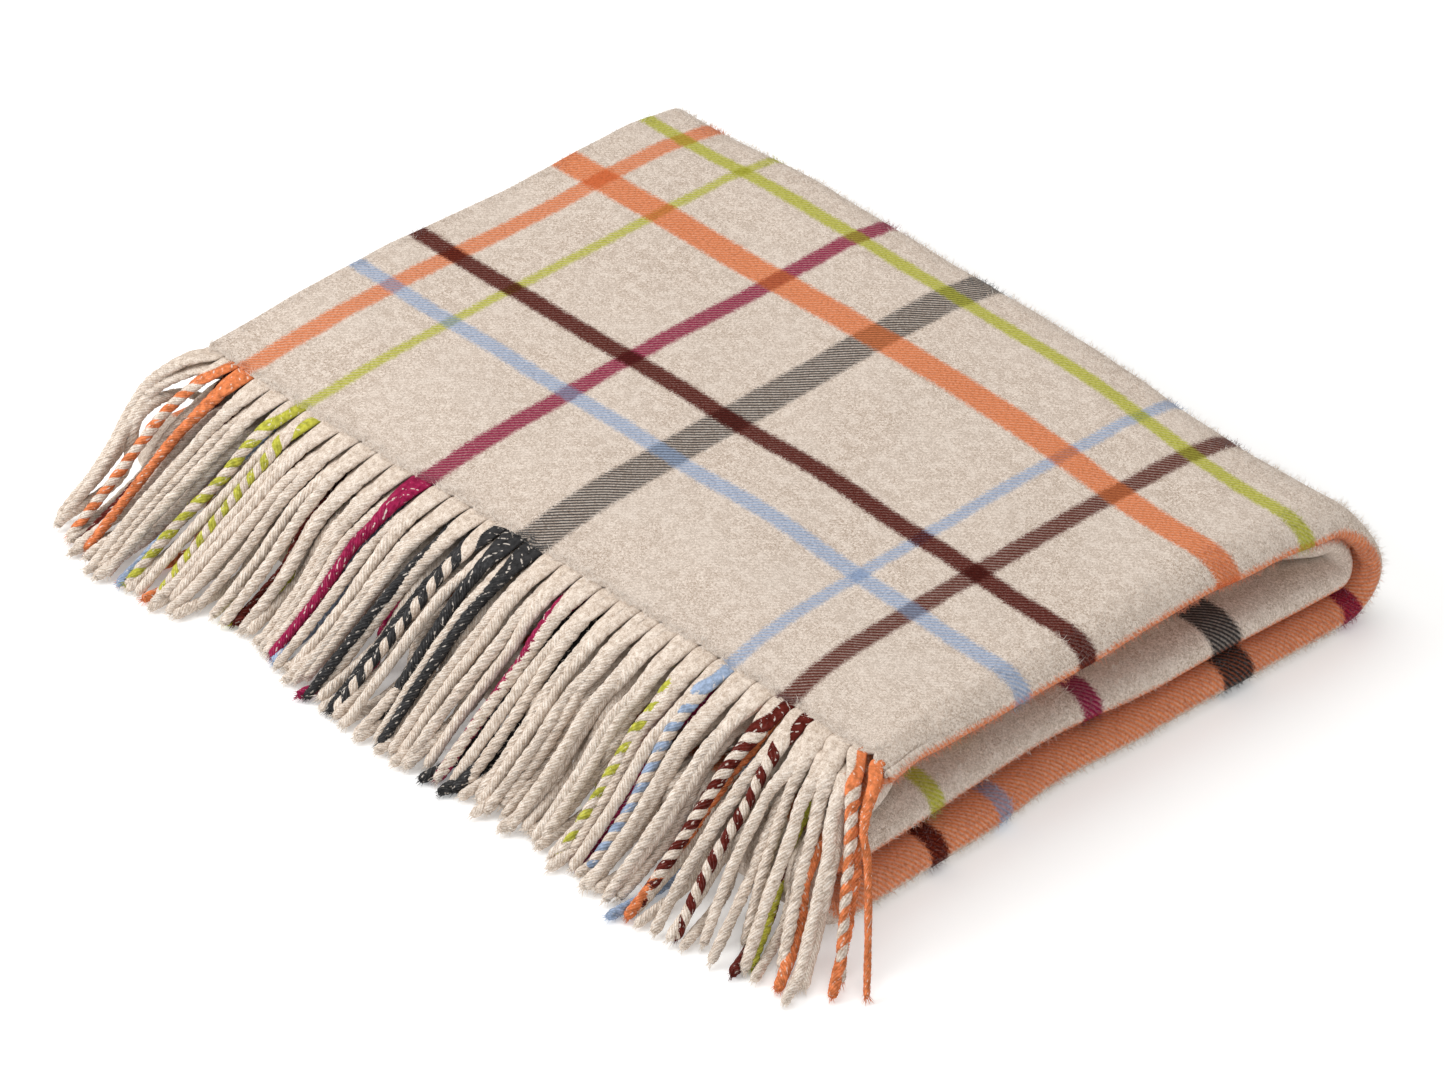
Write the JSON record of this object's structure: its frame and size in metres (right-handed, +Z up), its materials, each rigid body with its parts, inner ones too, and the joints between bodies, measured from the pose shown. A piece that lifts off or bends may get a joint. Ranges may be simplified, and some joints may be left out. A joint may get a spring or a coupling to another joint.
{
  "type": "folded throw blanket",
  "caption": "Brushed wool throw folded into a flat stack, with an open coloured check and rows of twisted fringe along the front edge.",
  "frame": {"origin": "under the middle of the whole object, on the surface it rests on", "axes": "+X along the fringe edge towards the long fold, +Y from the fringe to the back fold, +Z up"},
  "size_m": [0.7528, 0.6367, 0.1005],
  "materials": {
    "woven_cloth": "brushed wool twill, oatmeal with an open check of coloured stripes",
    "yarn_oatmeal": "twisted wool yarn, oatmeal",
    "yarn_orange": "twisted wool yarn, orange",
    "yarn_lime": "twisted wool yarn, lime",
    "yarn_magenta": "twisted wool yarn, magenta",
    "yarn_charcoal": "twisted wool yarn, charcoal",
    "yarn_blue": "twisted wool yarn, blue",
    "yarn_brown": "twisted wool yarn, brown"
  },
  "bodies": {
    "root": {"cloth": "woven_cloth", "fringe_lowest_blue": "yarn_blue", "fringe_lowest_brown": "yarn_brown", "fringe_lowest_charcoal": "yarn_charcoal", "fringe_lowest_lime": "yarn_lime", "fringe_lowest_magenta": "yarn_magenta", "fringe_lowest_oatmeal": "yarn_oatmeal", "fringe_lowest_orange": "yarn_orange", "fringe_second_blue": "yarn_blue", "fringe_second_brown": "yarn_brown", "fringe_second_charcoal": "yarn_charcoal", "fringe_second_lime": "yarn_lime", "fringe_second_magenta": "yarn_magenta", "fringe_second_oatmeal": "yarn_oatmeal", "fringe_second_orange": "yarn_orange", "fringe_third_blue": "yarn_blue", "fringe_third_brown": "yarn_brown", "fringe_third_charcoal": "yarn_charcoal", "fringe_third_lime": "yarn_lime", "fringe_third_magenta": "yarn_magenta", "fringe_third_oatmeal": "yarn_oatmeal", "fringe_third_orange": "yarn_orange", "fringe_top_blue": "yarn_blue", "fringe_top_brown": "yarn_brown", "fringe_top_charcoal": "yarn_charcoal", "fringe_top_lime": "yarn_lime", "fringe_top_magenta": "yarn_magenta", "fringe_top_oatmeal": "yarn_oatmeal", "fringe_top_orange": "yarn_orange"}
  },
  "joints": []
}
